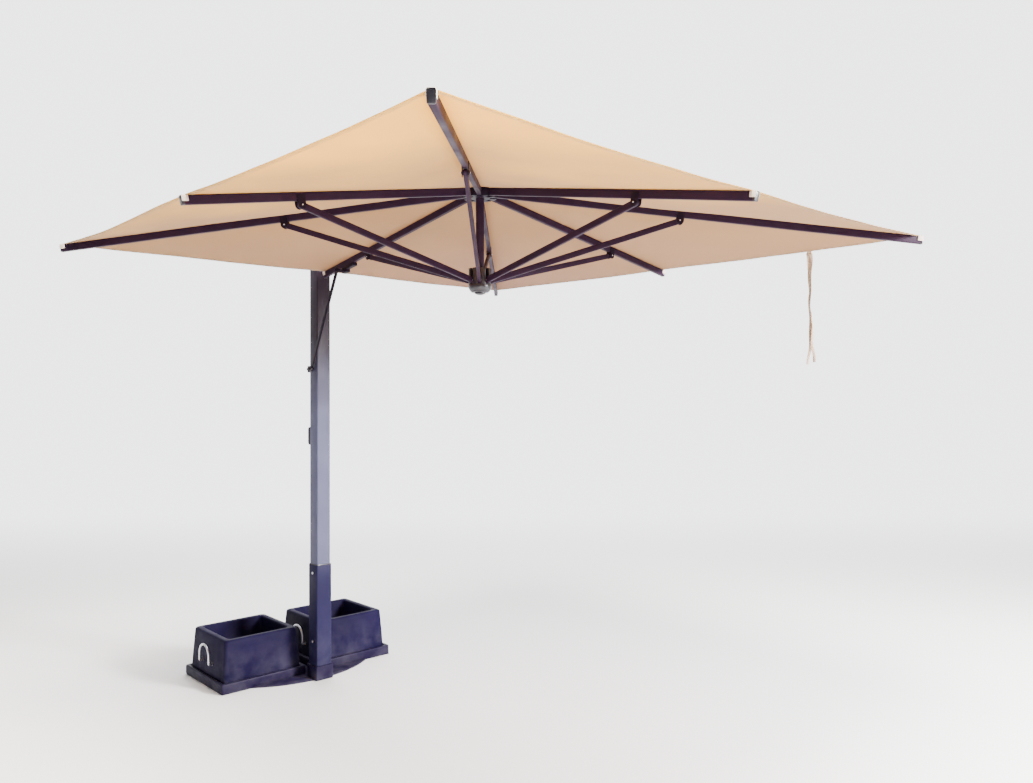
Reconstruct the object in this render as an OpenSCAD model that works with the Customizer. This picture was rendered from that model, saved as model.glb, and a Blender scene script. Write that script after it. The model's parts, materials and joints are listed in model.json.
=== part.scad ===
// Cantilever patio umbrella: a square mast on a ballasted base carries a boom,
// and a nine-square-metre canopy on eight folding ribs hangs below the boom's end.
//
// Frame: millimetres, +Z up, origin on the ground under the mast's axis.
// +X runs from the mast towards the canopy's centre. The ribs have compass names,
// with east along +X and north along +Y, so "w" is the rib that ends at the mast.

/* [Canopy] */
// Canopy size along X, tip to tip
canopy_x = 3000; // [2800:20:3100]
// Canopy size along Y, tip to tip
canopy_y = 2880; // [2700:20:3000]
// Distance from the mast's axis to the canopy's axis
reach = 1503; // [1500:1:1520]
// Height of the ribs' pivots
pivot_z = 2705; // [2650:5:2750]
// Slope of the four middle ribs when open, degrees
middle_slope = 10.3; // [9:0.1:12]
// Slope of the four corner ribs when open, degrees
corner_slope = 6.9; // [6:0.1:8]
// Thickness of the canopy's solids
fabric_t = 2; // [1:0.5:3]

/* [Ribs and struts] */
// Depth of a rib
rib_h = 35; // [30:1:38]
// Width of a rib
rib_w = 22; // [20:1:22]
// Depth of a strut
strut_h = 28; // [24:1:28]
// Width of a strut
strut_w = 16; // [12:1:16]
// Height of the struts' pivots on the runner
runner_z = 2285; // [2270:5:2300]
// How far the runner drops when the canopy folds
runner_travel = 1424; // [1400:1:1430]

/* [Mast and boom] */
// Side of the mast's square tube
mast_w = 90; // [90:1:92]
// Height of the mast's top
mast_top = 2700; // [2690:1:2702]
// Side of the sleeve round the mast's foot
sleeve_w = 100; // [100:1:104]
// Height of the sleeve's top
sleeve_top = 695; // [600:5:800]
// Depth of the boom
boom_h = 90; // [80:1:90]
// Width of the boom
boom_w = 60; // [56:1:60]
// Rise of the boom from the mast to the canopy's axis
boom_rise = 140; // [130:5:150]

/* [Base] */
// Length of a ballast box at its foot, along X
box_x = 475; // [440:5:480]
// Width of a ballast box at its foot, along Y
box_y = 495; // [460:5:500]
// Height of the ballast boxes' rims
box_top = 295; // [250:5:330]
// Side of the square foot block
foot_w = 116; // [112:1:120]
// Height of the foot block
foot_top = 85; // [70:5:100]

/* [Hidden] */
$fn = 48;

// Colours
frame_dark = [0.20, 0.15, 0.20];
mast_grey = [0.42, 0.42, 0.50];
base_dark = [0.23, 0.21, 0.33];
steel_bright = [0.75, 0.73, 0.78];
fabric_beige = [0.80, 0.67, 0.52];

// Clearances
fit = 0.08;         // radial, between a pin and the hole it turns in
snug = 0.05;        // radial, between pieces that don't move on each other
slack = 0.5;        // between flat faces of moving pieces
tiny = 0.1;         // overlap that joins two shapes into one solid

// Ribs: name, bearing in degrees, distance of the tip from the axis
half_x = canopy_x / 2;
half_y = canopy_y / 2;
corner_a = atan2(half_y, half_x);
corner_r = norm([half_x, half_y]);
mast_gap = 65;      // the mast-side rib stops this far from the mast's axis
RIBS = [
    ["e", 0, half_x], ["ne", corner_a, corner_r],
    ["n", 90, half_y], ["nw", 180 - corner_a, corner_r],
    ["w", 180, reach - mast_gap], ["sw", 180 + corner_a, corner_r],
    ["s", 270, half_y], ["se", 360 - corner_a, corner_r]
];
folded_slope = 85;
hub_r = 81;
hub_top = 16;       // top of the hub's disc, above the rib pivots
hub_core_r = 47;    // the hub's slots stop at this radius
runner_low = -54;   // ends of the runner, from the strut pivots
runner_high = 60;
runner_shell_r = 55;
runner_core_r = 33; // the runner's slots stop at this radius
runner_play = 0.6;
pivot_r = 70;       // rib pivots, from the canopy's axis
runner_r = 50;      // strut pivots on the runner, from the canopy's axis
strut_drop = 32;    // strut pivots, below the rib's centre line
pin_r = 3;
rib_wall = 1.8;
strut_wall = 1.6;
rib_heel = 14;      // rib behind its pivot
rib_cap_t = 8;
rib_plug = 18;      // cap's plug inside the rib
fork_t = 3;
fork_w = 36;
cloth_lift = 2;     // between the cloth and the ribs
eye_r = 64;         // hole at the top of the cloth
edge_back = 4;      // cloth's tips, short of the ribs' ends

function is_corner(rib) = len(rib[0]) == 2;
function slope(rib) = is_corner(rib) ? corner_slope : middle_slope;
function rib_length(rib) = (rib[2] - pivot_r) / cos(slope(rib));

// A point on a rib in the upright plane through it: s along the rib from its pivot, d below it
function rib_point(a, s, d) =
    [pivot_r + s * cos(a) - d * sin(a), pivot_z - s * sin(a) - d * cos(a)];
// Distance along the rib of the strut's pivot: the strut has one length, so it fits between
// the rib and the runner both open and folded
function strut_place(a) =
    let (open = rib_point(a, 0, strut_drop) - [runner_r, runner_z],
         shut = rib_point(folded_slope, 0, strut_drop) - [runner_r, runner_z - runner_travel],
         along = [cos(a), -sin(a)], down = [cos(folded_slope), -sin(folded_slope)])
    (shut * shut - open * open) / (2 * (along * open - down * shut));
function strut_vector(a) = [runner_r, runner_z] - rib_point(a, strut_place(a), strut_drop);

// Base
plate_t = 10;
plate_edge = 5;     // trays reach past the plate
tray_wall = 23;
tray_floor = 8;
tray_top = 60;
tray_gap = 2;       // between a box's foot and its tray's wall
box_front = -125;   // X of the boxes' front faces
box_side = 60;      // Y of the boxes' inner faces
box_taper = 17;
box_foot = plate_t + tray_floor;
well_wall = 50;
well_splay = 4;     // the well widens by this towards its top
fill_gap = 2;
fill_depth = 88;
box_floor = 12;
grip_w = 130;       // handles
grip_leg = 45;
grip_rod_r = 6;
grip_off = 16;      // the rod's centre line, from the box's end face at its foot
grip_z = 128;
arc_r = 660;        // curved front edge of the base plate
arc_front = 30;
tray_front = box_front + tray_gap + tray_wall;
tray_back = box_front - box_x - tray_gap - tray_wall;
tray_in = box_side - tray_gap - tray_wall;
tray_out = box_side + box_y + tray_gap + tray_wall;

// Mast, boom and cord
mast_wall = 3;
sleeve_wall = 4;
boss_r = 10;        // boss behind the stay's foot
boom_z = 2765;      // boom's centre line at the mast's axis
boom_slope = atan2(boom_rise, reach);
boom_back = 90;     // boom behind the mast's axis
boom_past = 60;     // boom past the canopy's axis
boom_wall = 3;
cord_slot = [24, 16];
end_plug = 14;      // an end cap's plug inside the boom
end_cap_t = 4;
boom_end_z = boom_z + boom_rise;
head_wall = 5;
cheek_t = 12;
cheek_top = 2822;
bolt_r = 6;
bolt_x = 36;        // bolts through the boom, from the mast's axis and from the pole's
small_bolt_r = 4;
hanger_t = 6;
hanger_w = 100;
pole_r = 20;
pole_wall = 3;
pole_top = 2850;
pole_foot = 2237;
cord_r = 2.5;
axle_r = 5;
cord_gap = 0.8;
pulley_r = 12;      // radius of the cord's centre line on a pulley
winch_z = 1477;
winch_h = 108;
winch_w = 76;
winch_d = 34;
winch_wall = 5;
drum_r = 12;
spindle_r = 10;
socket_r = 6;       // crank socket
socket_depth = 24;
spindle_end = -95;

// Stay between the mast and the mast-side rib
stay_s = 1165;      // its hinge, along the rib from the rib's pivot
stay_d = 42;        // its hinge, below the rib's centre line
stay_y = -60;
stay_t = 6;
stay_w = 26;
stay_eye = 17;
stay_bolt_r = 4;
stay_foot_z = 1885;
stay_hinge = rib_point(middle_slope, stay_s, stay_d);
stay_head = [reach - stay_hinge[0], stay_hinge[1]];
stay_length = norm(stay_head - [0, stay_foot_z]);
stay_lean = atan2(stay_head[0], stay_head[1] - stay_foot_z);
notch_turn = 47.5;  // the open notch in the stay's foot, from the bar's own line
notch_play = 0.4;
bracket_w = 28;
knob_r = 17;

// Tie straps: routes from the hem down, in the order they hang
STRAP_LONG = [
    [2440, 1436, 2466], [2440, 1440, 2440], [2441, 1442, 2400], [2444, 1443, 2350],
    [2443, 1443, 2300], [2441, 1442, 2250], [2443, 1441, 2200], [2447, 1441, 2150],
    [2449, 1441, 2100], [2450, 1441, 2050], [2450, 1440, 2000], [2446, 1439, 1960],
    [2440, 1438, 1925], [2434, 1437, 1890]
];
STRAP_SHORT = [
    [2452, 1434, 2464], [2452, 1434, 2440], [2452, 1434, 2400], [2450, 1434, 2350],
    [2448, 1434, 2300], [2448, 1434, 2250], [2451, 1434, 2200], [2456, 1434, 2150],
    [2460, 1434, 2100], [2462, 1434, 2050], [2464, 1434, 2000], [2468, 1434, 1960],
    [2472, 1434, 1930], [2475, 1434, 1902]
];
strap_w = 13;
strap_t = 2.4;

// ---------- Shared shapes ----------

// Square tube along +X from the origin, centred on Y and Z
module tube_x(length, w, h, wall) {
    difference() {
        translate([0, -w / 2, -h / 2]) cube([length, w, h]);
        translate([-1, -w / 2 + wall, -h / 2 + wall])
            cube([length + 2, w - 2 * wall, h - 2 * wall]);
    }
}

// Square tube along +Z from z0 to z1
module tube_z(z0, z1, w, wall) {
    difference() {
        translate([-w / 2, -w / 2, z0]) cube([w, w, z1 - z0]);
        translate([-w / 2 + wall, -w / 2 + wall, z0 - 1])
            cube([w - 2 * wall, w - 2 * wall, z1 - z0 + 2]);
    }
}

// Cylinder along Y, centred on the origin
module pin_y(r, length) {
    rotate([90, 0, 0]) cylinder(r = r, h = length, center = true);
}

// Bolt along Y with a hexagon head and nut
module bolt_y(r, grip) {
    pin_y(r, grip + 8 * r / 3);
    for (side = [-1, 1])
        translate([0, side * (grip / 2 + r / 2), 0]) rotate([90, 0, 0])
            cylinder(r = 1.9 * r, h = r, center = true, $fn = 6);
}

// Block with sides that lean in towards its top
module leaning_block(low, high, z0, z1, taper) {
    hull() {
        translate([low[0], low[1], z0])
            cube([high[0] - low[0], high[1] - low[1], tiny]);
        translate([low[0] + taper, low[1] + taper, z1 - tiny])
            cube([high[0] - low[0] - 2 * taper, high[1] - low[1] - 2 * taper, tiny]);
    }
}

// Round rod from one point to another
module rod(from, to, r) {
    v = to - from;
    translate(from) rotate([0, acos(v[2] / norm(v)), atan2(v[1], v[0])])
        cylinder(r = r, h = norm(v));
}

// Tube or ribbon swept along a route, w wide along X and t thick along Y
function section(p, w, t, sides) =
    [for (i = [0:sides - 1]) let (a = 360 * i / sides)
        p + [w / 2 * cos(a), t / 2 * sin(a), 0]];
module swept(route, w, t, sides = 8) {
    n = len(route);
    polyhedron(
        points = [for (p = route) each section(p, w, t, sides)],
        faces = concat(
            [[for (i = [0:sides - 1]) i]],
            [for (k = [0:n - 2], i = [0:sides - 1])
                [k * sides + i, (k + 1) * sides + i,
                 (k + 1) * sides + (i + 1) % sides, k * sides + (i + 1) % sides]],
            [[for (i = [sides - 1:-1:0]) (n - 1) * sides + i]]
        )
    );
}

// ---------- Base ----------

module foot_block() {
    color(base_dark) difference() {
        translate([-foot_w / 2, -foot_w / 2, 0]) cube([foot_w, foot_w, foot_top]);
        translate([-mast_w / 4, -mast_w / 4, plate_t])
            cube([mast_w / 2, mast_w / 2, foot_top]);
    }
}

module base_plate() {
    color(base_dark) difference() {
        union() {
            translate([tray_back + plate_edge, -tray_out + plate_edge, 0])
                cube([tray_front - tray_back - plate_edge, 2 * (tray_out - plate_edge), plate_t]);
            intersection() {
                translate([arc_front - arc_r, 0, 0]) cylinder(r = arc_r, h = plate_t, $fn = 120);
                translate([tray_front - tiny, -arc_r, 0]) cube([arc_r, 2 * arc_r, plate_t]);
            }
        }
        translate([-foot_w / 2 - tiny, -foot_w / 2 - tiny, -1])
            cube([foot_w + 2 * tiny, foot_w + 2 * tiny, plate_t + 2]);
    }
}

// Open tray that a box stands in; side is 1 for north and -1 for south
module tray(side) {
    y0 = side > 0 ? tray_in : -tray_out;
    wide = tray_out - tray_in;
    color(base_dark) translate([tray_back, y0, plate_t]) difference() {
        cube([tray_front - tray_back, wide, tray_top - plate_t]);
        translate([tray_wall, tray_wall, tray_floor])
            cube([tray_front - tray_back - 2 * tray_wall, wide - 2 * tray_wall, tray_top]);
    }
}

function box_low(side) = [box_front - box_x, side > 0 ? box_side : -box_side - box_y];
function box_high(side) = box_low(side) + [box_x, box_y];
WELL_IN = [well_wall, well_wall];

module ballast_box(side) {
    color(base_dark) difference() {
        leaning_block(box_low(side), box_high(side), box_foot, box_top, box_taper);
        leaning_block(box_low(side) + WELL_IN, box_high(side) - WELL_IN,
            box_foot + box_floor, box_top + 1, -well_splay);
    }
}

module ballast_fill(side) {
    inset = WELL_IN + [fill_gap, fill_gap];
    color("gray") leaning_block(box_low(side) + inset, box_high(side) - inset,
        box_foot + box_floor, box_foot + box_floor + fill_depth, -1);
}

// Two fixed arched handles on the box's end faces
module box_handles(side) {
    root_depth = 22;    // foot of each leg, back into the box's wall
    color(steel_bright)
        for (end = [-1, 1])
            translate([box_front - box_x / 2, side * (box_side + box_y / 2), grip_z])
                translate([0, end * (box_y / 2 + grip_off), 0]) {
                    for (x = [-grip_w / 2, grip_w / 2]) translate([x, 0, 0]) {
                        cylinder(r = grip_rod_r, h = grip_leg);
                        sphere(r = grip_rod_r);
                        translate([0, -end * root_depth / 2, 0]) pin_y(grip_rod_r, root_depth);
                    }
                    translate([0, 0, grip_leg]) rotate([90, 0, 0]) rotate_extrude(angle = 180)
                        translate([grip_w / 2, 0]) circle(r = grip_rod_r);
                }
}

// ---------- Mast ----------

SLEEVE_BOLT_Z = [230, 645];

module sleeve_holes() {
    for (z = SLEEVE_BOLT_Z) translate([0, 0, z]) pin_y(small_bolt_r + snug, sleeve_w + 10);
}

module mast_sleeve() {
    color(base_dark) difference() {
        tube_z(foot_top, sleeve_top, sleeve_w, sleeve_wall);
        sleeve_holes();
    }
}

module sleeve_bolts() {
    color(steel_bright) for (z = SLEEVE_BOLT_Z)
        translate([0, 0, z]) bolt_y(small_bolt_r, sleeve_w);
}

module mast_tube() {
    boss_y = stay_y + stay_t / 2 + slack;
    color(mast_grey) difference() {
        union() {
            tube_z(foot_top + 1, mast_top, mast_w, mast_wall);
            translate([0, (boss_y - mast_w / 2 + tiny) / 2, stay_foot_z])
                pin_y(boss_r, -boss_y - mast_w / 2 + tiny);
        }
        sleeve_holes();
        translate([0, -mast_w / 2, stay_foot_z]) pin_y(stay_bolt_r + fit, 40);
        translate([-mast_w / 2, 0, winch_z]) rotate([0, 90, 0])
            cylinder(r = 22, h = 20, center = true);
    }
}

module mast_head() {
    gap = 0.2;
    skirt = 60;
    lid = 8;
    inside = mast_w + 2 * gap;
    out = inside + 2 * head_wall;
    cheek_y = boom_w / 2 + slack + cheek_t / 2;
    color(frame_dark) difference() {
        union() {
            difference() {
                translate([-out / 2, -out / 2, mast_top - skirt]) cube([out, out, skirt + lid]);
                translate([-inside / 2, -inside / 2, mast_top - skirt - 1])
                    cube([inside, inside, skirt + 1 + gap]);
            }
            for (side = [-1, 1])
                translate([-out / 2, side * cheek_y - cheek_t / 2, mast_top + lid - 1])
                    cube([out, cheek_t, cheek_top - mast_top - lid + 1]);
        }
        translate([-cord_slot[0] / 2, -cord_slot[1] / 2, mast_top - 5])
            cube([cord_slot[0], cord_slot[1], 20]);
        boom_bolts(0) pin_y(bolt_r + snug, out + 10);
    }
}

module head_bolts() {
    color(steel_bright) boom_bolts(0) bolt_y(bolt_r, boom_w + 2 * (slack + cheek_t));
}

// ---------- Boom ----------

module on_boom() {
    translate([0, 0, boom_z]) rotate([0, -boom_slope, 0]) children();
}

// On the boom's centre line, at X
module at_boom(x) {
    translate([x, 0, boom_z + x * tan(boom_slope)]) children();
}

// The pair of bolts across the boom either side of X
module boom_bolts(x) {
    for (side = [-1, 1]) at_boom(x + side * bolt_x) children();
}

module boom_tube() {
    length = boom_back + reach / cos(boom_slope) + boom_past;
    color(mast_grey) difference() {
        on_boom() translate([-boom_back, 0, 0]) tube_x(length, boom_w, boom_h, boom_wall);
        boom_bolts(0) pin_y(bolt_r + snug, boom_w + 10);
        boom_bolts(reach) pin_y(small_bolt_r + snug, boom_w + 10);
        for (x = [0, reach]) at_boom(x) translate([-cord_slot[0] / 2, -cord_slot[1] / 2, -boom_h / 2 - 8])
            cube([cord_slot[0], cord_slot[1], 16]);
        for (x = [pulley_r, reach - pulley_r]) at_boom(x) pin_y(axle_r + snug, boom_w + 10);
    }
}

module boom_end_cap() {
    wall_in = boom_wall + 0.2;
    back = -boom_back - end_cap_t;
    front = reach / cos(boom_slope) + boom_past;
    color("black") on_boom() {
        for (x = [back, front])
            translate([x, -boom_w / 2, -boom_h / 2]) cube([end_cap_t, boom_w, boom_h]);
        for (x = [back + end_cap_t - tiny, front - end_plug])
            translate([x, -boom_w / 2 + wall_in, -boom_h / 2 + wall_in])
                cube([end_plug + tiny, boom_w - 2 * wall_in, boom_h - 2 * wall_in]);
    }
}

module boom_hanger() {
    floor_z = pole_top - 4;
    side_h = boom_end_z + 20 - floor_z;
    side_y = boom_w / 2 + slack + hanger_t / 2;
    collar_r = 27;
    collar_h = 50;
    color(frame_dark) difference() {
        union() {
            for (side = [-1, 1])
                translate([reach - hanger_w / 2, side * side_y - hanger_t / 2, floor_z])
                    cube([hanger_w, hanger_t, side_h]);
            translate([reach - hanger_w / 2, -side_y, floor_z]) cube([hanger_w, 2 * side_y, 8]);
            translate([reach, 0, floor_z - collar_h]) cylinder(r = collar_r, h = collar_h + 4);
        }
        translate([reach, 0, pole_top - 64]) cylinder(r = pole_r + snug, h = 64);
        translate([reach, 0, pole_top - 64]) cylinder(r = pole_r - 4, h = 100);
        boom_bolts(reach) pin_y(small_bolt_r + snug, boom_w + 30);
    }
}

module hanger_bolts() {
    color(steel_bright) boom_bolts(reach) bolt_y(small_bolt_r, boom_w + 2 * (slack + hanger_t));
}

// ---------- Winch, cord and pulleys ----------

module winch_housing() {
    bevel = 10;
    color(frame_dark) difference() {
        translate([-mast_w / 2, 0, winch_z]) rotate([90, 0, 0])
            linear_extrude(height = winch_w, center = true)
                polygon([[0, -winch_h / 2], [0, winch_h / 2], [-winch_d + bevel, winch_h / 2],
                    [-winch_d, winch_h / 2 - bevel], [-winch_d, -winch_h / 2 + bevel],
                    [-winch_d + bevel, -winch_h / 2]]);
        translate([0, 0, winch_z]) rotate([0, -90, 0]) cylinder(r = spindle_r + fit, h = 100);
        translate([-mast_w / 2 - winch_d + winch_wall + 1, -winch_w / 2 + winch_wall,
            winch_z - winch_h / 2 + winch_wall])
            cube([winch_d - winch_wall, winch_w - 2 * winch_wall, winch_h - 2 * winch_wall]);
    }
}

module winch_spindle() {
    drum_w = 24;
    rim_t = 4;
    rim_r = 21;
    color(steel_bright) translate([0, 0, winch_z]) rotate([0, 90, 0]) difference() {
        union() {
            translate([0, 0, spindle_end])
                cylinder(r = spindle_r, h = -spindle_end - drum_w / 2 - rim_t + 1);
            cylinder(r = drum_r, h = drum_w + 2 * rim_t, center = true);
            for (x = [-1, 1]) translate([0, 0, x * (drum_w + rim_t) / 2])
                cylinder(r = rim_r, h = rim_t, center = true);
        }
        translate([0, 0, spindle_end - 1]) cylinder(r = socket_r, h = socket_depth + 1);
    }
}

module pulley(x) {
    color("dimgray") at_boom(x) {
        pin_y(pulley_r - cord_r - cord_gap, 10);
        for (y = [-5, 5]) translate([0, y, 0]) pin_y(pulley_r + 4, 2.5);
        pin_y(8, boom_w - 2 * boom_wall - 1);
        pin_y(axle_r, boom_w);
    }
}

// The cord's corners round a pulley with its axle at c, between two angles
function bend(c, from, to) =
    [for (k = [0:3]) let (a = from + (to - from) * k / 3) c + pulley_r * [cos(a), 0, sin(a)]];

module lift_cord() {
    last_x = reach - pulley_r;
    head = [pulley_r, 0, boom_z + pulley_r * tan(boom_slope)];
    end = [last_x, 0, boom_z + last_x * tan(boom_slope)];
    route = concat(
        [[0, drum_r + cord_r + slack, winch_z]],
        bend(head, 180, 90 + boom_slope), bend(end, 90 + boom_slope, 0),
        [[reach, 0, pole_foot + slack]]
    );
    color("silver") {
        for (k = [1:len(route) - 1]) rod(route[k - 1], route[k], cord_r);
        for (k = [1:len(route) - 2]) translate(route[k]) sphere(r = cord_r + 0.15);
    }
}

// ---------- Centre pole and hubs ----------

module at_axis() {
    translate([reach, 0, 0]) children();
}

module centre_pole() {
    length = pole_top - pole_foot;
    color(frame_dark) at_axis() translate([0, 0, pole_foot]) difference() {
        cylinder(r = pole_r, h = length);
        translate([0, 0, -1]) cylinder(r = pole_r - pole_wall, h = length + 2);
    }
}

module upper_hub() {
    slot_w = rib_w + 2 * slack;
    low = -22;
    lid_z = 24;
    lid_t = 6;
    color(frame_dark) at_axis() translate([0, 0, pivot_z]) difference() {
        union() {
            translate([0, 0, low]) cylinder(r = hub_r, h = hub_top - low);
            translate([0, 0, hub_top - 1]) cylinder(r = hub_core_r - 3, h = lid_z - hub_top + 2);
            translate([0, 0, lid_z]) cylinder(r = 60, h = lid_t);
        }
        translate([0, 0, low - 1]) cylinder(r = pole_r + snug, h = lid_z + lid_t - low + 2);
        for (rib = RIBS) rotate(rib[1]) {
            translate([hub_core_r, -slot_w / 2, low - 1]) cube([50, slot_w, hub_top - low + 2]);
            translate([pivot_r, 0, 0]) pin_y(pin_r + snug, slot_w + 14);
        }
    }
}

module hub_pins() {
    color(steel_bright) at_axis() translate([0, 0, pivot_z])
        for (rib = RIBS) rotate(rib[1]) translate([pivot_r, 0, 0]) pin_y(pin_r, rib_w + 13);
}

module canopy_cap() {
    color(fabric_beige) at_axis() translate([0, 0, pivot_z]) rotate_extrude($fn = 72)
        polygon([[pole_r + 0.2, 31], [pole_r + 0.2, 45], [42, 45], [88, 22.5], [88, 20], [62, 31]]);
}

module runner() {
    length = runner_high - runner_low;
    shoulder = 18;
    slot_w = strut_w + 2 * runner_play;
    color("black") at_axis() translate([0, 0, runner_z + runner_low]) difference() {
        union() {
            translate([0, 0, shoulder]) cylinder(r = runner_shell_r, h = length - shoulder);
            cylinder(r1 = runner_shell_r - 13, r2 = runner_shell_r, h = shoulder);
        }
        translate([0, 0, 5]) cylinder(r = pole_r + runner_play, h = length);
        for (rib = RIBS) rotate(rib[1])
            translate([runner_core_r, -slot_w / 2, -1]) cube([40, slot_w, length + 2]);
    }
}

module runner_cap() {
    cap_r = 26;
    color("black") at_axis() translate([0, 0, runner_z + runner_low]) {
        translate([0, 0, -7]) cylinder(r = cap_r, h = 7);
        translate([0, 0, -13]) cylinder(r1 = cap_r - 14, r2 = cap_r, h = 6);
    }
}

// ---------- Ribs and struts ----------

// The rib's own frame: origin at its pivot, +X along the rib, +Z to its upper side
module on_rib(rib) {
    at_axis() rotate(rib[1]) translate([pivot_r, 0, pivot_z]) rotate([0, slope(rib), 0]) children();
}

module rib(rib) {
    length = rib_length(rib);
    place = strut_place(slope(rib));
    inner_w = rib_w - 2 * rib_wall - 0.2;
    inner_h = rib_h - 2 * rib_wall - 0.2;
    color(frame_dark) on_rib(rib) {
        difference() {
            union() {
                translate([-rib_heel, 0, 0]) tube_x(length + rib_heel, rib_w, rib_h, rib_wall);
                for (side = [-1, 1]) translate([place, side * (rib_w + fork_t - tiny) / 2, 0]) {
                    translate([-fork_w / 2, -fork_t / 2, -strut_drop])
                        cube([fork_w, fork_t, strut_drop + 8]);
                    translate([0, 0, -strut_drop]) pin_y(fork_w / 2, fork_t);
                }
            }
            pin_y(pin_r + fit, 40);
            translate([place, 0, -strut_drop]) pin_y(pin_r + fit, 40);
        }
        translate([length + tiny, -rib_w / 2 - 1, -rib_h / 2 - 1])
            cube([rib_cap_t, rib_w + 2, rib_h + 2]);
        translate([length - rib_plug, -inner_w / 2, -inner_h / 2])
            cube([rib_plug + 2 * tiny, inner_w, inner_h]);
    }
}

// Square-section strut from the rib's fork down to the runner, with its fork pin
module strut(rib) {
    a = slope(rib);
    v = strut_vector(a);
    length = norm(v);
    drain = 8;
    from = rib_point(a, strut_place(a), strut_drop);
    color(frame_dark)
        at_axis() rotate(rib[1]) translate([from[0], 0, from[1]])
            rotate([0, -atan2(v[1], v[0]), 0]) {
                difference() {
                    union() {
                        translate([0, -strut_w / 2, -strut_h / 2]) cube([length, strut_w, strut_h]);
                        for (x = [0, length]) translate([x, 0, 0]) pin_y(strut_h / 2, strut_w);
                        pin_y(9, rib_w - 2 * slack);
                    }
                    translate([20, -strut_w / 2 + strut_wall, -strut_h / 2 + strut_wall])
                        cube([length - 40, strut_w - 2 * strut_wall, strut_h - 2 * strut_wall]);
                    translate([length / 2, -2, 0]) cube([drain, 4, strut_h]);
                    pin_y(pin_r + snug, 40);
                }
                pin_y(pin_r, rib_w + 2 * fork_t + 8);
            }
}

// ---------- Canopy ----------

// A point of the cloth's underside over a rib, r from the axis
function cloth_at(rib, r) = [
    reach + r * cos(rib[1]), r * sin(rib[1]),
    pivot_z - (r - pivot_r) * tan(slope(rib)) + rib_h / 2 / cos(slope(rib)) + cloth_lift
];
function tip(rib) = cloth_at(rib, rib[2] - edge_back);
function eye(rib) = cloth_at(rib, eye_r);
function rib_at(i) = RIBS[(i + 8) % 8];

// One gore: the cloth on both sides of a rib, out to half way to its neighbours
module gore(i) {
    gap = 0.0004;
    here = rib_at(i);
    up = [0, 0, fabric_t];
    inner = [for (k = [-1, 1]) (eye(here) * (1 + gap) + eye(rib_at(i + k)) * (1 - gap)) / 2];
    outer = [for (k = [-1, 1]) (tip(here) * (1 + gap) + tip(rib_at(i + k)) * (1 - gap)) / 2];
    under = [inner[0], eye(here), inner[1], outer[1], tip(here), outer[0]];
    color(fabric_beige) polyhedron(
        points = concat(under, [for (p = under) p + up]),
        faces = concat(
            [[0, 5, 4], [0, 4, 1], [1, 4, 3], [1, 3, 2]],
            [[6, 10, 11], [6, 7, 10], [7, 9, 10], [7, 8, 9]],
            [for (k = [0:5]) [k, (k + 1) % 6, (k + 1) % 6 + 6, k + 6]]
        )
    );
}

module tie_strap_long() {
    color(fabric_beige) swept(STRAP_LONG, strap_w, strap_t);
}

module tie_strap_short() {
    color(fabric_beige) swept(STRAP_SHORT, strap_w, strap_t);
}

// ---------- Stay ----------

module stay_bar() {
    color(frame_dark) translate([0, stay_y, stay_foot_z]) rotate([0, stay_lean, 0]) difference() {
        union() {
            translate([-stay_w / 2, -stay_t / 2, 0]) cube([stay_w, stay_t, stay_length]);
            for (z = [0, stay_length]) translate([0, 0, z]) pin_y(stay_eye, stay_t);
        }
        translate([0, 0, stay_length]) pin_y(stay_bolt_r + fit, 20);
        pin_y(stay_bolt_r + notch_play, 20);
        rotate([0, -notch_turn, 0]) translate([-stay_bolt_r - notch_play, -10, 0])
            cube([2 * (stay_bolt_r + notch_play), 20, 40]);
    }
}

module stay_bracket() {
    mast_rib = RIBS[4];
    low = stay_d + 10;
    shallow = 36;       // clears the strut when the canopy is folded
    spacer = -stay_y - stay_t / 2 - slack - bracket_w / 2;
    color(frame_dark) on_rib(mast_rib) {
        translate([stay_s - 105, -bracket_w / 2, -shallow])
            cube([125, bracket_w, shallow - rib_h / 2 - tiny]);
        translate([stay_s - 25, -bracket_w / 2, -low]) cube([45, bracket_w, low - rib_h / 2 - tiny]);
        // Seen along the rib the stay lies on the side of +Y, because this rib points to -X
        translate([stay_s, -stay_y / 2 + 10, -stay_d]) pin_y(stay_bolt_r, -stay_y);
        translate([stay_s, bracket_w / 2 + spacer / 2, -stay_d]) pin_y(9, spacer);
        translate([stay_s, -stay_y + 11, -stay_d]) pin_y(8, 6);
    }
}

module stay_knob() {
    grip_t = 14;
    from = stay_y - stay_t / 2 - slack;
    shank = -from - mast_w / 2 + 8;
    color("black") translate([0, from, stay_foot_z]) rotate([90, 0, 0]) {
        cylinder(r = knob_r, h = grip_t);
        for (a = [0:60:300]) rotate(a) translate([knob_r, 0, 0]) cylinder(r = 5, h = grip_t);
        cylinder(r = 9, h = grip_t + 8);
        translate([0, 0, -shank]) cylinder(r = stay_bolt_r, h = shank + 2);
    }
}

foot_block();
base_plate();
tray(1);  // tray_north
tray(-1);  // tray_south
ballast_box(1);  // ballast_box_north
ballast_box(-1);  // ballast_box_south
ballast_fill(1);  // ballast_fill_north
ballast_fill(-1);  // ballast_fill_south
box_handles(1);  // box_handles_north
box_handles(-1);  // box_handles_south
mast_sleeve();
sleeve_bolts();
mast_tube();
mast_head();
head_bolts();
boom_tube();
boom_end_cap();
boom_hanger();
hanger_bolts();
winch_housing();
winch_spindle();
pulley(pulley_r);  // head_pulley
pulley(reach - pulley_r);  // boom_pulley
lift_cord();
centre_pole();
upper_hub();
hub_pins();
canopy_cap();
runner();
runner_cap();
stay_bar();
stay_bracket();
stay_knob();
tie_strap_long();
tie_strap_short();
for (i = [0:7]) {
    rib(RIBS[i]);
    strut(RIBS[i]);
    gore(i);
}
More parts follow.
